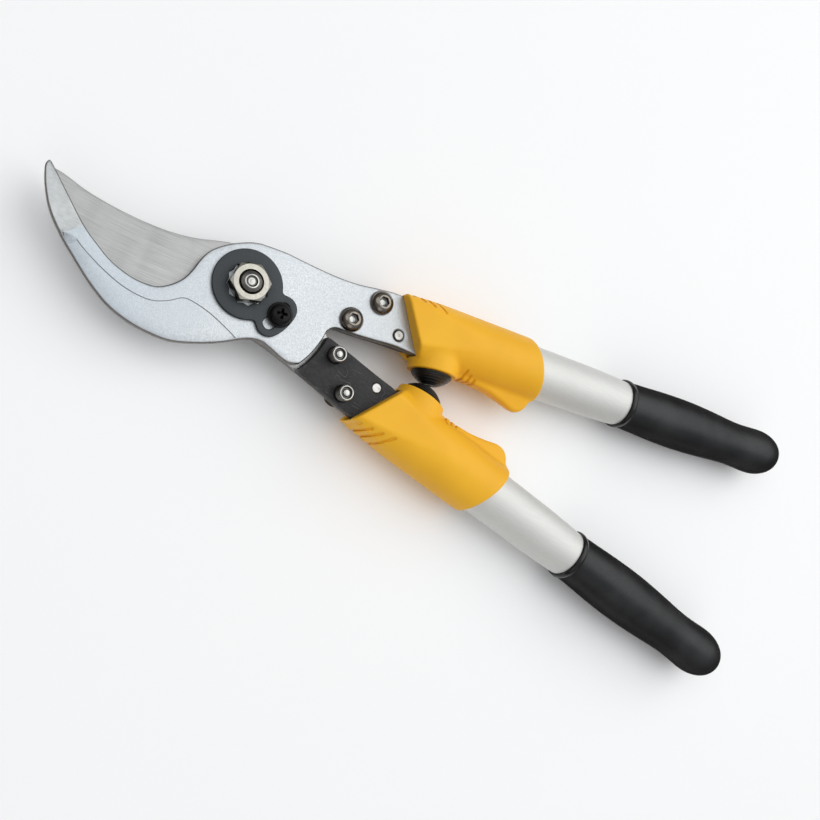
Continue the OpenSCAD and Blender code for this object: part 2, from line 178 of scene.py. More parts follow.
def line_distance(points, line):
    """Distance from each point to an open polyline."""
    best = np.full(len(points), 1e9)
    for a, b in zip(line[:-1], line[1:]):
        ab = b - a
        t = np.clip((points - a) @ ab / max(ab @ ab, 1e-12), 0, 1)
        best = np.minimum(best, np.linalg.norm(points - a - t[:, None]*ab, axis=1))
    return best


def inside(points, loops):
    """Which points lie inside the first loop and outside the others."""
    hit = np.zeros(len(points), bool)
    x, y = points[:, 0], points[:, 1]
    for loop in loops:
        for a, b in zip(loop, np.roll(loop, -1, 0)):
            if a[1] != b[1]:
                over = (a[1] > y) != (b[1] > y)
                hit ^= over & (x < (b[0] - a[0])*(y - a[1])/(b[1] - a[1]) + a[0])
    return hit


ARM_INNER = smooth([on_axis(12, -14.4), [80, 9], [70, 6.8], [60, 4.6], [52, 3.3], [48, 2.5], [45.6, 0.9],
                    polar(LOBE_R, -2)])
LOBE_EDGE = arc(LOBE_R, -4, -29, 24)
LOBE_END = polar(LOBE_R, -30)
ARM_OUTER = smooth([[0, 22], [10, 23.8], [20, 24.5], [30, 25.3], [40, 26.5], [50, 28.6], [60, 31.7],
                    [70, 34.4], on_axis(12, 12.7)])
HOOK_BELLY = smooth([LOBE_END, [36, -23.3], [32.3, -24.2], [27.8, -23.5], [21.7, -21.9], [16.6, -21.1],
                     [10, -23.4], [0, -30.4], [-10, -36], [-20, -40], [-30, -41.1], [-40, -40.6],
                     [-50, -38.2], [-60, -33.2], [-70, -26.6], [-80, -19.4], [-88, -12],
                     [-93.5, -4.2], [-96.95, 2.6], [-97.62, 5.6], [-96.9, 7.4]])
HOOK_MOUTH = smooth([[-95.8, 6.9], [-90, 2.2], [-80, -5.9], [-72, -12], [-65, -16], [-57.5, -19.6],
                     [-50, -21.5], [-43, -22], [-36, -20.8], [-31, -17.2], [-27, -12], [-25, -6.5],
                     [-24, -1], [-22.3, 4.9], [-19.1, 9.7], [-13.7, 14.9], [-6.8, 19.6], [-2, 21.6]])
BELLY_LINE = smooth([[-78.6, -18.6], [-76, -16.4], [-70, -20], [-60, -24.2], [-50, -27.1], [-41, -28],
                     [-34, -27], [-28, -23.6], [-23.5, -19.8], [-19, -19], [-10, -20.1], [0, -23],
                     [6, -25.2]])
CUT_EDGE = smooth([[-20, -19.5], [-25, -22], [-32, -25], [-40, -26.6], [-50, -26], [-60, -22.6],
                   [-70, -17], [-80, -9.5], [-88, -2], [-94, 4.8]])
BLADE_SPINE = smooth([[-95, 6.4], [-90, 6.3], [-80, 4.6], [-70, 4], [-60, 4.2], [-50, 5], [-40, 6.6],
                      [-30, 9.5], [-20, 13.9], [-12, 17], [-4, 19.2], [6, 20.5], [16.6, 20.9],
                      [27.8, 22.9], [32.3, 23.7], [36, 22.9], flip(LOBE_END)])
BLADE_HEEL = smooth([[0, -20.7], [-7, -20.3], [-14, -19.2]])
TANG_OUTER = smooth([on_axis(12, 11.4), [70, 32.5], [60, 30.1], [50, 27.5], [40, 25.2], [30, 23.2],
                     [20, 21.3], [10, 20.4], [0, 20.7]])
BRACKET_OUTER = smooth([[39.4, 26], [48, 27.9], [58, 30.3], [70, 33], on_axis(2, 12.2)])
BRACKET_TAIL = [on_axis(9, 12.4), on_axis(15, 11.3), on_axis(50, 11.3), on_axis(50, -11.3),
                on_axis(15, -11.3), on_axis(9, -12.6)]
BRACKET_INNER = smooth([on_axis(4, -12.9), [80, 9.6], [70, 7.7], [60, 5.7], [50, 3.9], [47.3, 3.4]])
# The step between the ground tip and the rest of the hook
TIP_STEP = np.array([[-73.4, -11.6], [-78.6, -18.4]])
# The rubber grip, given along the handle and out from its axis
GRIP_PROFILE = smooth([[152, 14.05], [162, 14.5], [172, 15.05], [182, 15.5], [193, 15.75], [203, 15.65],
                       [213, 15.25], [223, 14.7], [233, 14.05], [242, 13.75], [251, 14.05],
                       [259, 14.5], [265, 14.35], [270.5, 13.1], [275, 10.9], [278.7, 7.4],
                       [280.8, 3.4], [281.3, 0.02]], 8)


# ---------------------------------------------------------------- meshes
def add_piece(name, verts, faces, materials, body, node, lower=False, sharp=32, face_material=None):
    """Makes one visible piece, from millimetres above the shear plane, and ties it to the frame."""
    v = np.array(verts, float)
    if lower:
        v *= (1, -1, -1)
    v[:, 2] += SHEAR_Z
    mesh = bpy.data.meshes.new(name)
    mesh.from_pydata((v*MM).tolist(), [], faces)
    for m in materials:
        mesh.materials.append(m)
    if face_material is not None:
        mesh.polygons.foreach_set("material_index", np.asarray(face_material, np.int32))
    mesh.validate()
    mesh.shade_smooth()
    mesh.set_sharp_from_angle(angle=math.radians(sharp))
    obj = bpy.data.objects.new(name, mesh)
    bpy.context.scene.collection.objects.link(obj)
    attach(obj, body)
    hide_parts(node)
    return obj


def revolve(profile, n=72, closed=False):
    """Turns (radius, height) pairs about z. Either may be a function of the angle."""
    a = np.linspace(0, 2*math.pi, n, endpoint=False)
    verts, rings = [], []
    for r, h in profile:
        r = r(a) if callable(r) else np.full(n, float(r))
        h = h(a) if callable(h) else np.full(n, float(h))
        if r.max() < 1e-6:
            rings.append([len(verts)])
            verts.append([0, 0, h[0]])
        else:
            rings.append(list(range(len(verts), len(verts) + n)))
            verts += np.stack([r*np.cos(a), r*np.sin(a), h], 1).tolist()
    faces = []
    pairs = list(zip(rings[:-1], rings[1:])) + ([(rings[-1], rings[0])] if closed else [])
    for lo, hi in pairs:
        for i in range(n):
            j = (i + 1) % n
            if len(lo) == 1:
                faces.append((lo[0], hi[j], hi[i]))
            elif len(hi) == 1:
                faces.append((lo[i], lo[j], hi[0]))
            else:
                faces.append((lo[i], lo[j], hi[j], hi[i]))
    return np.array(verts), faces


def hexagon(af, turn=0.0):
    """Radius of a hexagon at an angle, for revolve(). A corner faces the angle given by turn."""
    def radius(a):
        off = (a - math.radians(turn)) % (math.pi/3)
        return af/2 / np.cos(off - math.pi/6)
    return radius


def handle_space(v):
    """Moves what revolve() made so that its axis is the upper handle's."""
    return on_handle(v[:, 2], v[:, 1], -v[:, 0])


def boss_space(v):
    """Moves what revolve() made to the boss, with its axis pointing at the other handle."""
    return on_handle(BOSS_U + v[:, 0], -BOSS_T - v[:, 2], v[:, 1])


def face_means(verts, faces):
    """Mean height of each face, and its mean distance from the axis that revolve() turned it about."""
    height = np.array([verts[list(q)][:, 2].mean() for q in faces])
    reach = np.array([np.hypot(*verts[list(q)][:, :2].T).mean() for q in faces])
    return height, reach


def plate(outer, holes, low, high, edge, grid=0.0, lines=(), top=None, bottom=None):
    """A plate with rounded edges.

    A grid of points, and lines that the faces must follow, let top and bottom give the height of
    either face at given points.
    """
    steps = 3
    top = top or (lambda p: np.full(len(p), high))
    bottom = bottom or (lambda p: np.full(len(p), low))
    loops = [tidy_loop(outer)] + [tidy_loop(h)[::-1] for h in holes]
    inner = [inset(loop, edge) for loop in loops]
    points, edges, starts = [], [], []
    for loop in inner:
        starts.append(len(points))
        edges += [(len(points) + i, len(points) + (i + 1) % len(loop)) for i in range(len(loop))]
        points += loop.tolist()
    for line in lines:
        edges += [(len(points) + i, len(points) + i + 1) for i in range(len(line) - 1)]
        points += np.asarray(line).tolist()
    if grid:
        (x0, y0), (x1, y1) = inner[0].min(0), inner[0].max(0)
        gx, gy = np.meshgrid(np.arange(x0, x1, grid), np.arange(y0, y1, grid))
        gx[1::2] += grid/2
        cand = np.stack([gx.ravel(), gy.ravel()], 1)
        cand = cand[inside(cand, inner)]
        for loop in inner:
            cand = cand[line_distance(cand, closed_line(loop)) > 0.45*grid]
        for line in lines:
            cand = cand[line_distance(cand, np.asarray(line)) > 0.3*grid]
        points += cand.tolist()
    # The flat faces are triangles that keep to the outlines and lines
    found = delaunay_2d_cdt([Vector(p) for p in points], edges, [], 0, 1e-5)
    flat = np.array([list(v) for v in found[0]])
    tris = np.array([f for f in found[2] if len(f) == 3])
    tris = tris[inside(flat[tris].mean(1), inner)]
    turn = np.cross(flat[tris[:, 1]] - flat[tris[:, 0]], flat[tris[:, 2]] - flat[tris[:, 0]]) < 0
    tris[turn] = tris[turn][:, ::-1]
    place = {}
    for new, olds in enumerate(found[3]):
        for old in olds:
            place[old] = new
    n = len(flat)
    verts = np.vstack([np.column_stack([flat, top(flat)]), np.column_stack([flat, bottom(flat)])])
    faces = [tuple(t) for t in tris] + [tuple(n + t[::-1]) for t in tris]
    verts = verts.tolist()
    # The edge is a row of rings, rounded over from the top face and again to the bottom one
    for loop, ring, start in zip(loops, inner, starts):
        z_top, z_low = top(ring), bottom(ring)
        reach = np.minimum(edge, 0.45*(z_top - z_low))
        rows = [[place[start + i] for i in range(len(ring))]]
        arcs = [(k/steps*math.pi/2, 1) for k in range(1, steps + 1)]
        arcs += [(k/steps*math.pi/2, -1) for k in range(steps, 0, -1)]
        for a, side in arcs:
            xy = ring + (loop - ring)*math.sin(a)
            drop = reach*(1 - math.cos(a))
            z = z_top - drop if side > 0 else z_low + drop
            rows.append(list(range(len(verts), len(verts) + len(ring))))
            verts += np.column_stack([xy, z]).tolist()
        rows.append([n + place[start + i] for i in range(len(ring))])
        for up, down in zip(rows[:-1], rows[1:]):
            for i in range(len(ring)):
                j = (i + 1) % len(ring)
                faces.append((down[i], down[j], up[j], up[i]))
    return np.array(verts), faces


def walls(verts, faces, level=0.45):
    """Which faces stand upright, or slope more than the level allows."""
    corner = np.array([verts[list(q[:3])] for q in faces])
    n = np.cross(corner[:, 1] - corner[:, 0], corner[:, 2] - corner[:, 0])
    return np.abs(n[:, 2]) < level*np.maximum(np.linalg.norm(n, axis=1), 1e-9)


def surface(field, lo, hi, step):
    """A closed mesh of quads where field(u, t, z) passes through zero."""
    axes = [np.arange(a, b + step, step) for a, b in zip(lo, hi)]
    f = field(*np.meshgrid(*axes, indexing="ij"))
    shape = np.array(f.shape)
    cells = shape - 1
    # Each cell's vertex is the mean of the points where the field crosses zero on its edges
    total, count = np.zeros((np.prod(cells), 3)), np.zeros(np.prod(cells))
    crossings = []
    for ax in range(3):
        o1, o2 = (ax + 1) % 3, (ax + 2) % 3
        a = np.take(f, range(shape[ax] - 1), ax)
        b = np.take(f, range(1, shape[ax]), ax)
        cross = (a < 0) != (b < 0)
        idx = np.argwhere(cross)
        point = idx.astype(float)
        point[:, ax] += a[cross] / (a[cross] - b[cross])
        crossings.append((ax, o1, o2, idx, a[cross] < 0))
        for d1 in (0, -1):
            for d2 in (0, -1):
                c = idx.copy()
                c[:, o1] += d1
                c[:, o2] += d2
                ok = np.all((c >= 0) & (c < cells), axis=1)
                flat = np.ravel_multi_index(c[ok].T, cells)
                count += np.bincount(flat, minlength=len(count))
                for k in range(3):
                    total[:, k] += np.bincount(flat, point[ok][:, k], minlength=len(count))
    used = np.flatnonzero(count)
    number = np.full(len(count), -1)
    number[used] = np.arange(len(used))
    verts = np.array(lo) + step*total[used]/count[used][:, None]
    # Each crossed edge becomes a face between the four cells round it
    quads = []
    for ax, o1, o2, idx, keep in crossings:
        ok = (idx[:, o1] > 0) & (idx[:, o2] > 0)
        ok &= (idx[:, o1] < cells[o1]) & (idx[:, o2] < cells[o2])
        idx, keep = idx[ok], keep[ok]
        corners = []
        for d1, d2 in ((-1, -1), (0, -1), (0, 0), (-1, 0)):
            c = idx.copy()
            c[:, o1] += d1
            c[:, o2] += d2
            corners.append(number[np.ravel_multi_index(c.T, cells)])
        q = np.stack(corners, 1)
        q[~keep] = q[~keep][:, ::-1]
        quads.append(q)
    # The vertices move onto the surface along the field's slope
    h = 0.02
    for _ in range(2):
        value = field(*verts.T)
        slopes = [(field(*(verts + h*e).T) - field(*(verts - h*e).T)) / (2*h) for e in np.eye(3)]
        grad = np.stack(slopes, 1)
        move = value / np.maximum(np.sum(grad*grad, axis=1), 0.2)
        verts -= grad * np.clip(move, -0.3*step, 0.3*step)[:, None]
    return verts, np.vstack(quads).tolist()


# ---------------------------------------------------------------- materials
class Look:
    """A Principled material with a few short-hands for its nodes."""

    def __init__(self, name, colour, rough, metal=0.0, **uniform):
        self.mat = bpy.data.materials.new(name)
        self.mat.use_nodes = True
        self.tree = self.mat.node_tree
        self.bsdf = self.tree.nodes["Principled BSDF"]
        self.bsdf.inputs["Base Color"].default_value = (*colour, 1)
        self.bsdf.inputs["Roughness"].default_value = rough
        self.bsdf.inputs["Metallic"].default_value = metal
        for key, value in uniform.items():
            self.bsdf.inputs[key.replace("_", " ")].default_value = value
        self.place = self.tree.nodes.new("ShaderNodeTexCoord").outputs["Object"]

    def node(self, kind, props=None, **links):
        """A new node. Each link gives a socket, by name or as i and its number, a value or an output."""
        n = self.tree.nodes.new(kind)
        for key, value in (props or {}).items():
            setattr(n, key, value)
        for key, value in links.items():
            numbered = key[0] == "i" and key[1:].isdigit()
            socket = n.inputs[int(key[1:]) if numbered else key.replace("_", " ")]
            if isinstance(value, bpy.types.NodeSocket):
                self.tree.links.new(value, socket)
            else:
                socket.default_value = value
        return n

    def calc(self, operation, *values):
        """The result of a math node."""
        links = {f"i{k}": value for k, value in enumerate(values)}
        n = self.node("ShaderNodeMath", {"operation": operation}, **links)
        return n.outputs[0]

    def stretched(self, scale, turn=0.0):
        """Object space scaled, then turned by an angle about z."""
        m = self.node("ShaderNodeMapping", {"vector_type": "POINT"}, Vector=self.place,
                      Rotation=(0, 0, turn), Scale=scale)
        return m.outputs[0]

    def rings(self, centre, along, across):
        """Space that follows arcs about a centre, for grinding marks that curve."""
        off = self.node("ShaderNodeVectorMath", {"operation": "SUBTRACT"}, i0=self.place, i1=centre)
        split = self.node("ShaderNodeSeparateXYZ", Vector=off.outputs[0])
        flat = self.node("ShaderNodeCombineXYZ", X=split.outputs[0], Y=split.outputs[1])
        radius = self.node("ShaderNodeVectorMath", {"operation": "LENGTH"}, i0=flat.outputs[0])
        angle = self.calc("ARCTAN2", split.outputs[1], split.outputs[0])
        out = self.calc("MULTIPLY", radius.outputs[1], across)
        round_about = self.calc("MULTIPLY", angle, along)
        return self.node("ShaderNodeCombineXYZ", X=out, Y=round_about).outputs[0]

    def noise(self, scale, detail=3.0, rough=0.5, vector=None):
        n = self.node("ShaderNodeTexNoise", {"normalize": True}, Vector=vector or self.place, Scale=scale,
                      Detail=detail, Roughness=rough)
        return n.outputs[0]

    def ramp(self, value, low, high, out_low=0.0, out_high=1.0):
        """Takes low to high over to out_low to out_high, and holds it there beyond them."""
        n = self.node("ShaderNodeMapRange", {"clamp": True}, Value=value, From_Min=low, From_Max=high,
                      To_Min=out_low, To_Max=out_high)
        return n.outputs[0]

    def blend(self, factor, a, b):
        """Two colours mixed, each given as numbers or as a node's output."""
        n = self.node("ShaderNodeMix", {"data_type": "RGBA"}, i0=factor)
        for socket, value in ((n.inputs[6], a), (n.inputs[7], b)):
            if isinstance(value, bpy.types.NodeSocket):
                self.tree.links.new(value, socket)
            else:
                socket.default_value = (*value, 1)
        return n.outputs[2]

    def colour(self, socket):
        self.tree.links.new(socket, self.bsdf.inputs["Base Color"])
        return self

    def roughness(self, socket):
        self.tree.links.new(socket, self.bsdf.inputs["Roughness"])
        return self

    def bump(self, *layers):
        """Each layer is (height socket, depth in millimetres)."""
        normal = None
        for height, depth in layers:
            n = self.node("ShaderNodeBump", Strength=1.0, Distance=depth*MM, Height=height)
            if normal:
                self.tree.links.new(normal, n.inputs["Normal"])
            normal = n.outputs[0]
        self.tree.links.new(normal, self.bsdf.inputs["Normal"])
        return self


def edge_wear(look):
    """0 on flats and 1 on outward edges."""
    geo = look.node("ShaderNodeNewGeometry")
    return look.ramp(geo.outputs["Pointiness"], 0.52, 0.62)


def hook_look():
    k = Look("hook_satin_steel", (0.62, 0.67, 0.72), 0.42, 0.85)
    grain = k.noise(1700, 2)
    cloud = k.noise(60, 3)
    along = k.node("ShaderNodeSeparateXYZ", Vector=k.place).outputs[0]
    base = k.blend(k.ramp(grain, 0.3, 0.7), (0.45, 0.475, 0.49), (0.64, 0.66, 0.675))
    base = k.blend(k.ramp(cloud, 0.35, 0.7, 0, 0.35), base, (0.52, 0.555, 0.59))
    # Painted shade: from 20 to 75 mm along x the arm is painted darker.
    base = k.blend(k.ramp(along, 0.02, 0.075, 0, 0.45), base, (0.36, 0.375, 0.385))
    # Painted reflection: from x = 0 towards the tip the head and belly are tinted a bluish sheen.
    k.colour(k.blend(k.ramp(along, 0.0, -0.05, 0, 0.5), base, (0.45, 0.51, 0.56)))
    k.roughness(k.ramp(k.noise(900, 2), 0.3, 0.7, 0.36, 0.5))
    return k.bump((grain, 0.05), (k.noise(350, 2), 0.03)).mat


def tip_look():
    k = Look("hook_ground_tip", (0.44, 0.45, 0.45), 0.36, 0.9)
    lines = k.noise(1.0, 4, 0.6, k.stretched((300, 2600, 1), math.radians(42)))
    worn = k.noise(180, 4)
    base = k.blend(k.ramp(lines, 0.3, 0.7), (0.36, 0.37, 0.37), (0.50, 0.51, 0.51))
    k.colour(k.blend(k.ramp(worn, 0.5, 0.75, 0, 0.5), base, (0.62, 0.63, 0.62)))
    k.roughness(k.ramp(lines, 0.3, 0.7, 0.3, 0.42))
    return k.bump((lines, 0.03)).mat


def blade_look():
    centre = (-0.075, 0.36, 0)
    k = Look("blade_brushed_steel", (0.38, 0.38, 0.375), 0.34, 0.95)
    marks = k.noise(1.0, 4, 0.65, k.rings(centre, 22, 3600))
    broad = k.noise(1.0, 2, 0.5, k.rings(centre, 7, 420))
    # Darker bands across the grinding marks: partly the ground facets' own tone, partly a painted
    # reflection band.
    facet_and_reflection_bands = k.noise(1.0, 1, 0.5, k.rings(centre, 38, 14))
    base = k.blend(k.ramp(marks, 0.28, 0.72), (0.26, 0.26, 0.255), (0.48, 0.48, 0.47))
    base = k.blend(k.ramp(broad, 0.35, 0.65, 0, 0.25), base, (0.50, 0.495, 0.48))
    k.colour(k.blend(k.ramp(facet_and_reflection_bands, 0.45, 0.65, 0, 0.35), base, (0.30, 0.305, 0.30)))
    k.roughness(k.ramp(marks, 0.3, 0.7, 0.27, 0.42))
    return k.bump((marks, 0.035)).mat


def bright_metal(name, colour, rough, grain=1200, depth=0.01, dark=0.75):
    k = Look(name, colour, rough, 1.0)
    n = k.noise(grain, 3)
    k.colour(k.blend(k.ramp(n, 0.35, 0.65), tuple(c*dark for c in colour), colour))
    k.roughness(k.ramp(k.noise(grain*0.4, 3), 0.3, 0.7, rough*0.75, rough*1.3))
    return k.bump((n, depth)).mat


def bracket_look():
    k = Look("bracket_black_oxide", (0.016, 0.016, 0.018), 0.5, 0.3, Specular_IOR_Level=0.4)
    pits = k.noise(420, 5, 0.6)
    scratch = k.noise(1.0, 5, 0.7, k.stretched((90, 1500, 90), math.radians(35)))
    curls = k.noise(150, 2, 0.4)
    base = k.blend(k.ramp(pits, 0.4, 0.75), (0.009, 0.009, 0.010), (0.034, 0.034, 0.037))
    worn = k.blend(k.ramp(scratch, 0.60, 0.70, 0, 0.8), base, (0.11, 0.11, 0.11))
    hairs = k.calc("COMPARE", curls, 0.5, 0.006)
    scuffed = k.calc("MULTIPLY", hairs, k.ramp(k.noise(75, 3), 0.5, 0.62))
    worn = k.blend(scuffed, worn, (0.13, 0.13, 0.13))
    k.colour(k.blend(edge_wear(k), worn, (0.14, 0.135, 0.13)))
    k.roughness(k.ramp(pits, 0.3, 0.7, 0.42, 0.62))
    return k.bump((pits, 0.12), (scratch, 0.03)).mat


def painted_look(name, colour, rough, grain, depth, shine=0.5):
    k = Look(name, colour, rough, 0.0, Specular_IOR_Level=shine)
    n = k.noise(grain, 3)
    k.colour(k.blend(k.ramp(n, 0.3, 0.7), tuple(c*0.85 for c in colour), tuple(c*1.15 for c in colour)))
    k.roughness(k.ramp(n, 0.3, 0.7, rough*0.9, rough*1.1))
    return k.bump((n, depth)).mat


def tube_look():
    k = Look("tube_satin_aluminium", (0.70, 0.70, 0.675), 0.5, 0.65)
    drawn = k.noise(1.0, 3, 0.6, k.stretched((40, 2400, 2400)))
    grain = k.noise(2600, 1)
    k.colour(k.blend(k.ramp(drawn, 0.3, 0.7), (0.68, 0.68, 0.655), (0.74, 0.74, 0.715)))
    k.roughness(k.ramp(grain, 0.3, 0.7, 0.60, 0.70))
    return k.bump((grain, 0.012)).mat


def cover_look():
    k = Look("cover_yellow_plastic", (0.92, 0.46, 0.02), 0.45, 0.0, Specular_IOR_Level=0.28)
    spark = k.noise(2800, 2)
    cloud = k.noise(35, 2)
    base = k.blend(k.ramp(cloud, 0.3, 0.7), (0.86, 0.43, 0.015), (0.93, 0.485, 0.02))
    k.colour(k.blend(k.ramp(spark, 0.35, 0.65, 0, 0.10), base, (0.98, 0.58, 0.05)))
    k.roughness(k.ramp(spark, 0.3, 0.7, 0.42, 0.54))
    return k.bump((spark, 0.02)).mat


def grip_look():
    """Rubber with a broad sheen, which a dark metallic layer gives without light edges."""
    k = Look("grip_black_rubber", (0.05, 0.05, 0.05), 0.42, 0.9, Specular_Tint=(0.25, 0.24, 0.23, 1))
    grain = k.noise(1900, 3, 0.6)
    rubbed = k.noise(45, 4)
    base = k.blend(k.ramp(rubbed, 0.4, 0.7), (0.032, 0.033, 0.034), (0.050, 0.051, 0.052))
    k.colour(k.blend(k.ramp(grain, 0.35, 0.65, 0, 0.2), base, (0.10, 0.10, 0.10)))
    k.roughness(k.ramp(rubbed, 0.3, 0.7, 0.36, 0.5))
    return k.bump((grain, 0.04)).mat


HOOK, TIP, BLADE = hook_look(), tip_look(), blade_look()
BRACKET, TUBE, COVER, GRIP = bracket_look(), tube_look(), cover_look(), grip_look()
LOCK_PLATE = painted_look("lock_plate_charcoal", (0.034, 0.041, 0.045), 0.5, 900, 0.02, 0.4)
# The screw's own black, also laid on the lock plate's rounded edges as a painted dark outline of shade.
SCREW_BLACK_AND_EDGE_SHADE = painted_look("lock_screw_black", (0.004, 0.004, 0.004), 0.36, 1500, 0.01, 0.16)
BUMPER = painted_look("bumper_black_rubber", (0.006, 0.006, 0.006), 0.36, 800, 0.03, 0.5)
LIP = painted_look("grip_lip_rubber", (0.004, 0.004, 0.004), 0.25, 600, 0.01, 0.35)
# Dark edge faces of the hook and blade: partly scale on the edges, partly painted shade along the outlines.
EDGE_SCALE_AND_SHADE = bright_metal("plate_edge_scale_and_painted_shade", (0.24, 0.225, 0.21), 0.42, 700, 0.02)
NICKEL = bright_metal("nut_bright_nickel", (0.43, 0.41, 0.365), 0.28, 1500, 0.004, 0.92)
BUTTON = bright_metal("bolt_dark_nickel", (0.21, 0.19, 0.165), 0.13, 500, 0.006, 0.85)
# The nut's sides and bore are painted dark, as painted shade and dark reflection.
NUT_SIDE_SHADE = bright_metal("nut_side_painted_shade", (0.14, 0.12, 0.10), 0.2, 500, 0.006, 0.8)
STEEL = bright_metal("bolt_end_steel", (0.48, 0.475, 0.455), 0.24, 900, 0.006, 0.85)
THREAD = bright_metal("bolt_thread_shadow", (0.13, 0.125, 0.115), 0.35, 600, 0.006)
DOWEL = bright_metal("dowel_ground_steel", (0.55, 0.54, 0.52), 0.4, 900, 0.03)
BRONZE = bright_metal("bush_bronze", (0.55, 0.36, 0.16), 0.35)
ALUMINIUM = bright_metal("rivet_aluminium", (0.70, 0.70, 0.70), 0.4)
NYLON = painted_look("core_nylon", (0.72, 0.70, 0.64), 0.5, 500, 0.02)


# ---------------------------------------------------------------- the jaws
def arm_holes(bolt_r, dowel_r, side=1):
    """The holes for an arm's bolts and dowel, with side -1 for the blade's arm."""
    places = [(*at, bolt_r) for at in ARM_BOLTS] + [(*DOWEL_AT, dowel_r)]
    return [circle(x, side*y, r) for x, y, r in places]


def hook_height(p):
    """Height of the hook's front: the belly is sunk, and it and the tip roll off to the outer edge."""
    step, sink, roll_w, roll = 0.17, 0.55, 7, 1.7
    tip_sink, tip_roll_w, tip_roll = 0.25, 6, 0.5
    belly = np.vstack([beside(BELLY_LINE, step), [[8, -60], [-100, -60], [-82, -19.6]]])
    drop = np.zeros(len(p))
    low = inside(p, [belly])
    q = p[low]
    rim = np.clip(line_distance(q, HOOK_BELLY), 0, roll_w) / roll_w
    toward_tip = 0.25 + 0.75*np.clip((-42 - q[:, 0]) / 25, 0, 1)
    drop[low] = sink + roll*toward_tip*(1 - rim)**2
    tip = (p[:, 0] < -73) & (p[:, 1] > -19)
    rim = np.clip(line_distance(p[tip], HOOK_BELLY), 0, tip_roll_w) / tip_roll_w
    drop[tip] = tip_sink + tip_roll*(1 - rim)**2
    return HOOK_FRONT - drop


def hook():
    edge, grid, scale_and_shade_w = 1.0, 2.0, 1.3
    outer = np.vstack([ARM_INNER, LOBE_EDGE, HOOK_BELLY, HOOK_MOUTH, ARM_OUTER])
    screw_hole = circle(*polar(SLOT_PCR, SCREW_ANGLE), SCREW_R)
    holes = [circle(0, 0, PIVOT_R), screw_hole] + arm_holes(ARM_BOLT_R + 0.05, DOWEL_R + 0.45)
    lines = [BELLY_LINE[2:], beside(BELLY_LINE, 0.35)[2:], TIP_STEP]
    v, f = plate(outer, holes, HALF_GAP, HOOK_FRONT, edge, grid, lines, hook_height)
    centre = np.array([v[list(q)].mean(0) for q in f])
    start, run = TIP_STEP[0], TIP_STEP[1] - TIP_STEP[0]
    beyond = (centre[:, 0] - start[0])*run[1] - (centre[:, 1] - start[1])*run[0]
    index = ((beyond > 0) & (centre[:, 0] < -72)).astype(int)
    # Sloping faces near the outline are painted dark: partly scale, partly painted shade along the hook's
    # edge.
    near_edge = line_distance(centre[:, :2], closed_line(outer)) < scale_and_shade_w
    index[walls(v, f, 0.8) & near_edge] = 2
    add_piece("hook_plate", v, f, [HOOK, TIP, EDGE_SCALE_AND_SHADE], "hook_handle", "hook",
              face_material=index)


def cutting_blade():
    outer = np.vstack([flip(TANG_OUTER), BLADE_HEEL, CUT_EDGE, BLADE_SPINE, flip(LOBE_EDGE)[::-1],
                       flip(ARM_INNER)[::-1]])
    holes = [circle(0, 0, BUSH_R)] + arm_holes(ARM_BOLT_R + 0.05, DOWEL_R + 0.1, -1)
    edge, grid, bevel_w, edge_t = 0.3, 2.0, 7.0, 0.35
    back = -HALF_GAP - BLADE_T

    def underside(p):
        """The bevel rises from the back to the thin cutting edge."""
        rise = np.clip(1 - line_distance(p, CUT_EDGE) / bevel_w, 0, 1)
        rise *= np.clip((-17 - p[:, 0]) / 6, 0, 1)
        return back + rise*(BLADE_T - edge_t)

    bevel_line = beside(CUT_EDGE[6:-4], bevel_w)
    v, f = plate(outer, holes, back, -HALF_GAP, edge, grid, [bevel_line], bottom=underside)
    # The blade's upright side faces are painted dark, as painted shade where the blade meets the hook.
    add_piece("cutting_blade_plate", v, f, [BLADE, EDGE_SCALE_AND_SHADE], "blade_handle", "cutting_blade",
              face_material=walls(v, f).astype(int))


# ---------------------------------------------------------------- the pivot
def thread_profile(r, z0, z1, pitch=1.25, depth=0.35):
    """Zigzag of (radius, height) from z0 up to z1."""
    n = max(1, int(round((z1 - z0) / pitch)))
    z = np.linspace(z0, z1, 2*n + 1)
    return [(r - (depth if k % 2 else 0), h) for k, h in enumerate(z)]


def pivot_bolt():
    low, shoulder = -SHEAR_Z, HOOK_FRONT - 0.3
    end = PLATE_BACK + NUT_H + 1.4
    thread_r, pitch = 4.9, 1.5
    profile = [(0, low), (3.4, low), (3.6, low + 0.5), (4.2, low + 0.5), (4.4, low),
               (PIVOT_HEAD_R - 1.2, low), (PIVOT_HEAD_R - 0.3, low + 0.4), (PIVOT_HEAD_R, low + 1.2),
               (PIVOT_HEAD_R, low + PIVOT_HEAD_H), (PIVOT_R, low + PIVOT_HEAD_H), (PIVOT_R, HALF_GAP),
               (PIVOT_R - 0.1, shoulder), (thread_r, shoulder)]
    profile += thread_profile(thread_r, HOOK_FRONT, end - 0.9, pitch)
    profile += [(3.3, end - 0.05), (3.0, end), (2.75, end), (2.15, end - 0.5), (1.65, end - 0.6),
                (0.9, end - 0.5), (0, end - 0.46)]
    v, f = revolve(profile, 72)
    height, reach = face_means(v, f)
    thread = (height > HOOK_FRONT) & (reach > 3.4)
    dimple = (height > end - 0.6) & (reach > 1.8) & (reach < 2.6)
    add_piece("pivot_bolt_turned", v, f, [STEEL, THREAD], "hook_handle", "pivot_bolt",
              sharp=28, face_material=(thread | dimple).astype(int))


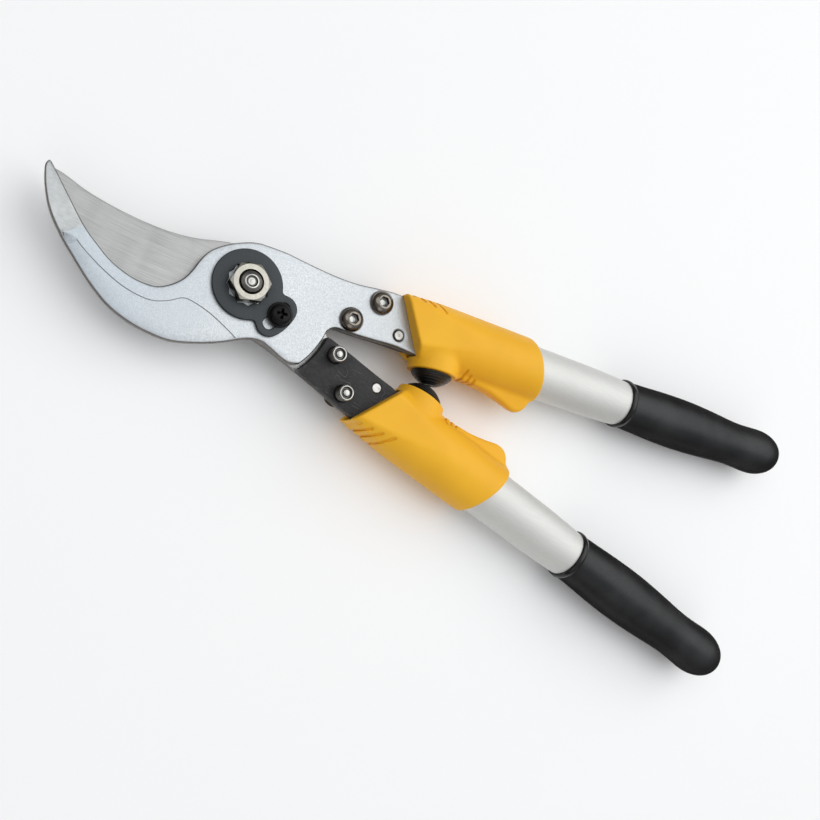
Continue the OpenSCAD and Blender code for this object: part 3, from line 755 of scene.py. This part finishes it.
def pivot_nut():
    base, top = PLATE_BACK, PLATE_BACK + NUT_H
    bore_r, flat_r, chamfer = 5.1, NUT_AF/2 - 0.25, 0.577
    edge = hexagon(NUT_AF - 0.1, NUT_TURN)

    def fall(a):
        """How far the chamfer has dropped where it leaves the hexagon."""
        return np.clip((edge(a) - flat_r)*chamfer, 0.05, None)

    profile = [(bore_r, base + 0.7), (5.8, base), (flat_r, base), (edge, lambda a: base + fall(a)),
               (edge, lambda a: top - fall(a)), (flat_r, top), (5.9, top), (bore_r, top - 0.8)]
    v, f = revolve(profile, 144, closed=True)
    # Side faces and bore take the dark material: painted shade and dark reflection.
    height, reach = face_means(v, f)
    flats = (height - base < NUT_H - 0.95) & (reach > 6.5)
    thread = reach < 5.6
    add_piece("pivot_nut_hexagon", v, f, [NICKEL, NUT_SIDE_SHADE], "adjuster", "pivot_nut",
              sharp=24, face_material=(flats | thread).astype(int))


def slot_outline(hw, n=14):
    """The curved slot's outline, hw to either side of its middle line."""
    a0, a1 = SLOT_ANGLES
    ends = []
    for angle, lo, hi in ((a1, 0, 180), (a0, 180, 360)):
        ends.append(arc(hw, lo + angle, hi + angle, n, polar(SLOT_PCR, angle)))
    return np.vstack([arc(SLOT_PCR + hw, a0, a1, 2*n), ends[0], arc(SLOT_PCR - hw, a1, a0, 2*n), ends[1]])


def lock_plate():
    """The outline is the round part joined to the band round the slot, softened where they meet."""
    angles = np.radians(np.arange(-180, 180, 1.0))
    band = slot_outline(LOBE_END_R, 24)
    radius = np.full(len(angles), PLATE_R)
    for a, b in zip(band, np.roll(band, -1, 0)):
        d = b - a
        for k, t in enumerate(angles):
            ray = np.array([math.cos(t), math.sin(t)])
            det = ray[0]*d[1] - ray[1]*d[0]
            if abs(det) > 1e-9:
                reach = (a[0]*d[1] - a[1]*d[0]) / det
                along = (a[0]*ray[1] - a[1]*ray[0]) / det
                if reach > 0 and 0 <= along <= 1:
                    radius[k] = max(radius[k], reach)
    outline = np.stack([radius*np.cos(angles), radius*np.sin(angles)], 1)
    radii = [STAR_AF/2/math.cos(math.radians(a)) for a in (30, 15)]
    star = [polar(radii[k % 2], STAR_TURN + 15*k) for k in range(24)]
    holes = [star, slot_outline(SLOT_W/2)]
    v, f = plate(rounded(outline, 0.5, 10), holes, PLATE_BACK, PLATE_BACK + PLATE_T, 0.45)
    # The rounded edges take the screw's black as a painted dark outline of shade.
    add_piece("lock_plate_sheet", v, f, [LOCK_PLATE, SCREW_BLACK_AND_EDGE_SHADE], "adjuster", "lock_plate",
              face_material=walls(v, f, 0.8).astype(int))


def lock_screw():
    at = np.array([*polar(SLOT_PCR, SCREW_ANGLE), HOOK_FRONT + 2*PLATE_GAP + PLATE_T])
    ring = [(SCREW_R, 0), (5.8, 0), (6.1, 0.25), (6.1, 0.75), (5.8, 1), (SCREW_R, 1)]
    v, f = revolve(ring, 64, closed=True)
    add_piece("lock_washer_ring", v + at, f, [SCREW_BLACK_AND_EDGE_SHADE], "hook_handle", "lock_screw_washer")
    shank_r, shank_end = SCREW_R - 0.1, -6.5
    screw = [(0, shank_end), (shank_r, shank_end), (shank_r, 1), (4.9, 1), (5.2, 1.3), (5.2, 2.4),
             (4.9, 3.2), (4.2, 3.8), (3.2, 4.15), (1.8, 4.35), (0, 4.4)]
    v, f = revolve(screw, 64)
    head = add_piece("lock_screw_head", v + at, f, [SCREW_BLACK_AND_EDGE_SHADE], "hook_handle", "lock_screw")
    recess_floor, recess_turn = 2.0, 15
    cut_cross(head, at + (0, 0, recess_floor), recess_turn)


def cut_cross(obj, at, turn):
    """Cuts a cross recess that tapers to its floor, with two wedges whose floors differ a little."""
    sides = ((3, 2, 1, 0), (4, 5, 6, 7), (0, 1, 5, 4), (1, 2, 6, 5), (2, 3, 7, 6), (3, 0, 4, 7))
    for angle in (turn, turn + 90):
        c, s = math.cos(math.radians(angle)), math.sin(math.radians(angle))
        verts = []
        for z, half, wide in ((0, 0.9, 0.35), (3.5, 3.6, 0.95)):
            for x, y in ((-half, -wide), (half, -wide), (half, wide), (-half, wide)):
                corner = Vector((at[0] + x*c - y*s, at[1] + x*s + y*c, at[2] + z + 0.003*angle/90))
                verts.append((corner + Vector((0, 0, SHEAR_Z)))*MM)
        mesh = bpy.data.meshes.new("cutter")
        mesh.from_pydata(verts, [], sides)
        cutter = bpy.data.objects.new("cutter", mesh)
        bpy.context.scene.collection.objects.link(cutter)
        mod = obj.modifiers.new("cut", "BOOLEAN")
        mod.operation, mod.solver, mod.object = "DIFFERENCE", "EXACT", cutter
        bpy.context.view_layer.update()
        done = bpy.data.meshes.new_from_object(obj.evaluated_get(bpy.context.evaluated_depsgraph_get()))
        obj.modifiers.clear()
        obj.data = done
        bpy.data.objects.remove(cutter)
    obj.data.shade_smooth()
    obj.data.set_sharp_from_angle(angle=math.radians(30))


# ---------------------------------------------------------------- arm fasteners
def arm_bolts(side, arm_t, body, lower):
    """Two button-head bolts, each with a hex socket and a hollowed end."""
    end, thread_r = -ARM_BOLT_L, ARM_BOLT_R - 0.03
    socket = hexagon(4.7, 10)
    profile = [(0, end + 0.25), (0.9, end + 0.3), (1.5, end + 0.45), (1.9, end + 1.1), (2.45, end + 1.2),
               (2.75, end + 0.5), (2.95, end + 0.1), (3.15, end), (3.45, end), (thread_r, end + 0.6)]
    profile += thread_profile(thread_r, end + 0.9, -arm_t - BRACKET_T + 0.4)
    profile += [(thread_r, 0), (BUTTON_R - 0.3, 0), (BUTTON_R, 0.3), (BUTTON_R, 0.8), (6.05, 1.5),
                (5.6, 2.25), (4.95, 3.0), (4.15, 3.6), (3.55, 3.9), (3.3, 4.0),
                (lambda a: socket(a) + 0.12, 4.0), (socket, 3.85), (socket, 1.7), (1.5, 1.35), (0, 1.0)]
    v, f = revolve(profile, 96)
    height, reach = face_means(v, f)
    head, steel, dark = 0, 1, 2
    index = np.where(height > -0.2, head, np.where(height > end + 0.75, dark, steel))
    in_socket = (height > 1.0) & (reach < 3.1)
    index[in_socket & (height < 3.8)] = dark
    index[in_socket & (height < 1.5)] = steel
    for k, (x, y) in enumerate(ARM_BOLTS):
        add_piece(f"{side}_arm_bolt_{k + 1}", v + (x, y, HALF_GAP + arm_t), f, [BUTTON, STEEL, THREAD],
                  body, f"{side}_arm_bolts", lower, 26, index)


def arm_dowel(side, arm_t, body, lower):
    """A pin that stands a little proud of the front, with a centre mark in one end."""
    proud, chamfer = 0.25, 0.3
    low, high = HALF_GAP - BRACKET_T, HALF_GAP + arm_t
    if lower:
        low -= proud
    else:
        high += proud
    v, f = revolve([(0, low), (DOWEL_R - chamfer, low), (DOWEL_R, low + chamfer), (DOWEL_R, high - chamfer),
                    (DOWEL_R - chamfer, high), (0.7, high), (0.45, high - 0.25), (0, high - 0.3)], 48)
    add_piece(f"{side}_dowel_pin", v + (*DOWEL_AT, 0), f, [DOWEL], body, f"{side}_arm_dowel",
              lower)


# ---------------------------------------------------------------- the handles
def bracket(side, body, lower):
    outer = np.vstack([arc(BRACKET_ARC_R, 4.4, 33, 24), BRACKET_OUTER, BRACKET_TAIL, BRACKET_INNER])
    holes = arm_holes(ARM_BOLT_R + 0.1, DOWEL_R + 0.05)
    v, f = plate(outer, holes, HALF_GAP - BRACKET_T, HALF_GAP, 0.55)
    add_piece(f"{side}_bracket_plate", v, f, [BRACKET], body, f"{side}_bracket", lower)


def tube(side, body, lower):
    """A tube that narrows where the grip covers it."""
    taper = smooth([[120, 14.3], [128, 14.15], [136, 13.9], [142, 13.65], [148, 13.35], [156, 12.95],
                    [165, 12.5], [175, 11], [258, 11]], 4)
    outer = [(TUBE_R - 0.2, 16), (TUBE_R, 16.3), (TUBE_R - 0.07, 60), (TUBE_R - 0.2, 120)]
    outer += [(r, u) for u, r in taper[1:]]
    inner = [(r - TUBE_WALL, u) for r, u in outer[::-1]]
    v, f = revolve(outer + inner, 96, closed=True)
    add_piece(f"{side}_tube_drawn", handle_space(v), f, [TUBE], body, f"{side}_tube",
              lower)


def grip(side, body, lower):
    """A closed rubber sleeve with a lip at its open end, a little inside the CAD's own skin."""
    lip_end, shy = 150.9, 0.06
    lip = smooth([[147.0, 13.5], [147.05, 14.0], [147.5, 14.5], [148.6, 14.75], [149.8, 14.6],
                  [150.6, 14.15], [152, 14.05]], 4)
    bore = [(0, 259), (11.05, 259), (11.05, 175), (12.55, 165), (13.4, 148)]
    skin = GRIP_PROFILE[1:-1] - [0, shy]
    skin[:, 0] -= np.where(skin[:, 0] > 275, shy, 0)
    profile = bore + [(r, u) for u, r in (*lip, *skin)] + [(0, GRIP_PROFILE[-1, 0] - shy)]
    v, f = revolve(profile, 96)
    along, _ = face_means(v, f)
    add_piece(f"{side}_grip_sleeve", handle_space(v), f, [GRIP, LIP], body, f"{side}_grip",
              lower, 50, (along < lip_end).astype(int))


def bumper(side, body, lower):
    """A rubber dome with rings, and a small flat where the two domes meet."""
    dome = smooth([[BUMPER_R, 0.5], [BUMPER_R - 0.15, 1.4], [9.9, 2.7], [8.5, 4.0], [6.8, 5.2], [4.9, 6.2],
                   [3.3, BUMPER_H]], 10)
    rings, ring_depth = 6, 0.32
    ridge = ring_depth*np.sin(np.linspace(0, 2*math.pi*rings, len(dome)))
    ridge[0] = ridge[-1] = 0
    profile = [(0, 0), (6, 0), (BUMPER_R - 0.5, 0)]
    profile += [(r + d, h) for (r, h), d in zip(dome, np.minimum(ridge, 0))]
    profile += [(1.6, BUMPER_H), (1.4, BUMPER_H - 0.5), (0, BUMPER_H - 0.6)]
    v, f = revolve(profile, 80)
    add_piece(f"{side}_bumper_dome", boss_space(v), f, [BUMPER], body, f"{side}_bumper",
              lower, 40)


def smooth_min(a, b, k):
    """The union of two fields, blended over a width k."""
    h = np.clip(0.5 + 0.5*(b - a)/k, 0, 1)
    return b*(1 - h) + a*h - k*h*(1 - h)


def smooth_max(a, b, k):
    """What two fields share, blended over a width k."""
    return -smooth_min(-a, -b, k)


def capsule(u, t, a, b, r):
    """Signed distance to a round-ended bar from a to b."""
    ab = np.array(b) - np.array(a)
    s = np.clip(((u - a[0])*ab[0] + (t - a[1])*ab[1]) / (ab @ ab), 0, 1)
    return np.hypot(u - a[0] - s*ab[0], t - a[1] - s*ab[1]) - r


# The finger guard, and the ends of the cover's grooves and notches, along and across the handle
FIN = tidy_loop(smooth([[34, -17.3], [40, -18.5], [47, -18.8], [56, -19.9], [66, -22.5], [73, -24.9],
                        [77, -25.5], [80.3, -24.6], [82.6, -22.2], [84, -18.8], [85.3, -15.5], [82, -11],
                        [70, -8], [50, -8], [36, -9], [34, -17.3]]))
GROOVES = [((-3.9, 15.2), (-0.6, 13.4)), ((1.4, 16.2), (5.4, 12.5)), ((5.8, 16.8), (11.2, 11.6)),
           ((12.0, 17.2), (17.8, 10.0))]
NOTCHES = [((39.3, -18.6), (39.1, -14.2)), ((43.1, -18.8), (42.9, -15.8)), ((46.7, -18.9), (46.4, -16.9))]


def fin_distance(u, t):
    """Signed distance to the finger guard's outline, or 6 where that is far away."""
    p = np.stack([u.ravel(), t.ravel()], 1)
    near = (p[:, 0] > 28) & (p[:, 1] < -4)
    out = np.full(len(p), 6.0)
    q = p[near]
    d = line_distance(q, closed_line(FIN))
    out[near] = np.where(inside(q, [FIN]), -d, d)
    return out.reshape(u.shape)


def cover_sleeve(u, t, z):
    """The sleeve round the tube, cut off at both ends and flattened towards its front."""
    rear_at, rear_lean = 81, math.radians(18.6)
    rear = (u - rear_at)*math.cos(rear_lean) + t*math.sin(rear_lean)
    front_at, front_normal = (-5, 13.8), (-0.887, -0.461)
    front = (u - front_at[0])*front_normal[0] + (t - front_at[1])*front_normal[1]
    sleeve = smooth_max(np.hypot(t, z) - SLEEVE_R + 0.1, rear, 1.6)
    sleeve = smooth_max(sleeve, (np.abs(z) - 13.5 - 0.102*u)*0.995, 0.7)
    sleeve = smooth_max(sleeve, t - 13.9 - 0.125*(u + 5), 1.2)
    sleeve = smooth_max(sleeve, -15.1 - t - 0.3*np.clip(u - 10, 0, 20), 1.0)
    return smooth_max(sleeve, front, 1.2)


def cover_boss(u, t, z):
    """The round boss that carries the bumper, a little wider at its root."""
    side = np.hypot(u - BOSS_U, z) - BOSS_R - 0.12*(t + BOSS_T)
    return smooth_max(smooth_max(side, -BOSS_T - t, 0.5), t + 3, 1.0)


def cover_guard(u, t, z):
    """The finger guard, which thickens towards the sleeve."""
    fin = fin_distance(u[..., 0], t[..., 0])[..., None] if u.ndim == 3 else fin_distance(u, t)
    return smooth_max(fin + 0*z, np.abs(z) - 4.4 - 0.34*(t + 20), 2.2)


def cover_field(u, t, z):
    """Distance-like field of a cover, in the handle's own axes."""
    body = smooth_min(cover_sleeve(u, t, z), cover_boss(u, t, z), 1.3)
    body = smooth_min(body, cover_guard(u, t, z), 1.6)
    depth = np.clip(0.35 + 0.07*(u + 4), 0.35, 0.9)
    for a, b in GROOVES:
        body = smooth_max(body, -np.maximum(capsule(u, t, a, b, 0.6), -body - depth), 0.25)
    for a, b in NOTCHES:
        body = smooth_max(body, -np.maximum(capsule(u, t, a, b, 0.65), -body - 0.9), 0.35)
    pocket = np.maximum(np.maximum(np.abs(z) - 5.62, t - 13.42), np.maximum(-14.5 - t, u - 15))
    wall = np.where(u < 30, body + 0.9, -1.0)
    bore = np.maximum(np.maximum(np.hypot(t, z) - TUBE_R - 0.1, 12 - u), wall)
    return smooth_max(smooth_max(body, -pocket, 0.25), -bore, 0.25)


def covers():
    step = 0.55
    v, f = surface(cover_field, (-9, -27, -19), (92, 20, 19), step)
    v = on_handle(*v.T)
    for side, body, lower in SIDES:
        add_piece(f"{side}_cover_shell", v, f, [COVER], body, f"{side}_cover", lower, 60)


hook()
cutting_blade()
pivot_bolt()
pivot_nut()
lock_plate()
lock_screw()
for arm in ARMS:
    arm_bolts(*arm)
for arm in ARMS:
    arm_dowel(*arm)
for side in SIDES:
    bracket(*side)
    tube(*side)
    grip(*side)
    bumper(*side)
covers()

# Nodes that keep their CAD mesh, and what they are made of
KEPT = {"pivot_bush": BRONZE, "thrust_washer": STEEL, "upper_tube_core": NYLON, "lower_tube_core": NYLON,
        "upper_tube_rivets": ALUMINIUM, "lower_tube_rivets": ALUMINIUM, "upper_bumper_stud": STEEL,
        "lower_bumper_stud": STEEL}
for node, material in KEPT.items():
    obj = frame["nodes"][node]
    obj.data.materials.clear()
    obj.data.materials.append(material)


# ---------------------------------------------------------------- floor, camera and light
# The floor's drop below the model and its half width, in metres
FLOOR_BELOW, FLOOR_HALF = 0.0005, 4.0
CAMERA_AT = (-52.48, -109.33, 371.12 + SHEAR_Z)
CAMERA_AIM = (103.22, -15.53, SHEAR_Z - 0.38)
CAMERA_RIGHT = (0.9024, 0.4309, 0)
LENS, SENSOR_W = 34.9, 36.0
# The world's bright side, its colours, and what the camera sees of it
SKY_TOWARD, SKY_STRENGTH = (0.27, 0.10, 0.95), 1.2
SKY_DIM, SKY_BRIGHT, BACKDROP = (0.12, 0.10, 0.09, 1), (0.52, 0.54, 0.56, 1), (0.74, 0.75, 0.76, 1)
# Name, place in metres, size, power and tint of each light
LIGHTS = (("key", (1.15, 0.75, 1.55), 2.5, 23.0, (1.0, 0.995, 0.98)),
          ("fill", (-0.7, 0.2, 1.4), 1.4, 5.0, (0.97, 0.99, 1.0)),
          ("front", (0.25, -1.0, 0.7), 0.8, 1.0, (1, 0.98, 0.95)))
LIGHTS_AIM = (0.1, 0, 0)


def floor():
    z = cad_bounds[0][2] - FLOOR_BELOW
    mesh = bpy.data.meshes.new("floor")
    corners = [(x*FLOOR_HALF, y*FLOOR_HALF, z) for x, y in ((-1, -1), (1, -1), (1, 1), (-1, 1))]
    mesh.from_pydata(corners, [], [(0, 1, 2, 3)])
    obj = bpy.data.objects.new("floor", mesh)
    bpy.context.scene.collection.objects.link(obj)
    k = Look("floor_pale", (0.96, 0.96, 0.96), 0.8)
    k.colour(k.blend(k.noise(4, 2), (0.95, 0.95, 0.95), (0.97, 0.97, 0.97)))
    mesh.materials.append(k.mat)


def camera():
    at, aim = Vector(CAMERA_AT)*MM, Vector(CAMERA_AIM)*MM
    ahead = (aim - at).normalized()
    right = Vector(CAMERA_RIGHT)
    right = (right - ahead*right.dot(ahead)).normalized()
    up = right.cross(ahead)
    cam = bpy.data.objects.new("camera", bpy.data.cameras.new("camera"))
    cam.matrix_world = Matrix(((right.x, up.x, -ahead.x, at.x), (right.y, up.y, -ahead.y, at.y),
                               (right.z, up.z, -ahead.z, at.z), (0, 0, 0, 1)))
    cam.data.lens, cam.data.sensor_width = LENS, SENSOR_W
    cam.data.clip_start = 0.01
    bpy.context.scene.collection.objects.link(cam)
    bpy.context.scene.camera = cam
    bpy.context.scene.view_settings.view_transform = "Standard"


def sky():
    """A world that is brighter on one side, with a pale backdrop for what the camera sees of it."""
    world = bpy.data.worlds.new("studio")
    bpy.context.scene.world = world
    world.use_nodes = True
    tree = world.node_tree
    toward = tree.nodes.new("ShaderNodeVectorMath")
    toward.operation = "DOT_PRODUCT"
    toward.inputs[1].default_value = SKY_TOWARD
    coord = tree.nodes.new("ShaderNodeTexCoord")
    tree.links.new(coord.outputs["Generated"], toward.inputs[0])
    ramp = tree.nodes.new("ShaderNodeValToRGB")
    dim, bright = ramp.color_ramp.elements
    dim.position, dim.color = 0.05, SKY_DIM
    bright.position, bright.color = 0.85, SKY_BRIGHT
    tree.links.new(toward.outputs["Value"], ramp.inputs[0])
    backdrop = tree.nodes.new("ShaderNodeMix")
    backdrop.data_type = "RGBA"
    backdrop.inputs["B"].default_value = BACKDROP
    rays = tree.nodes.new("ShaderNodeLightPath")
    tree.links.new(rays.outputs["Is Camera Ray"], backdrop.inputs["Factor"])
    tree.links.new(ramp.outputs[0], backdrop.inputs["A"])
    background = tree.nodes["Background"]
    background.inputs["Strength"].default_value = SKY_STRENGTH
    tree.links.new(backdrop.outputs["Result"], background.inputs[0])


def lights():
    for name, place, size, power, tint in LIGHTS:
        light = bpy.data.lights.new(name, "AREA")
        light.shape, light.size, light.energy, light.color = "DISK", size, power, tint
        obj = bpy.data.objects.new(name, light)
        obj.location = place
        obj.rotation_euler = (Vector(LIGHTS_AIM) - Vector(place)).to_track_quat("-Z", "Y").to_euler()
        bpy.context.scene.collection.objects.link(obj)


floor()
camera()
sky()
lights()
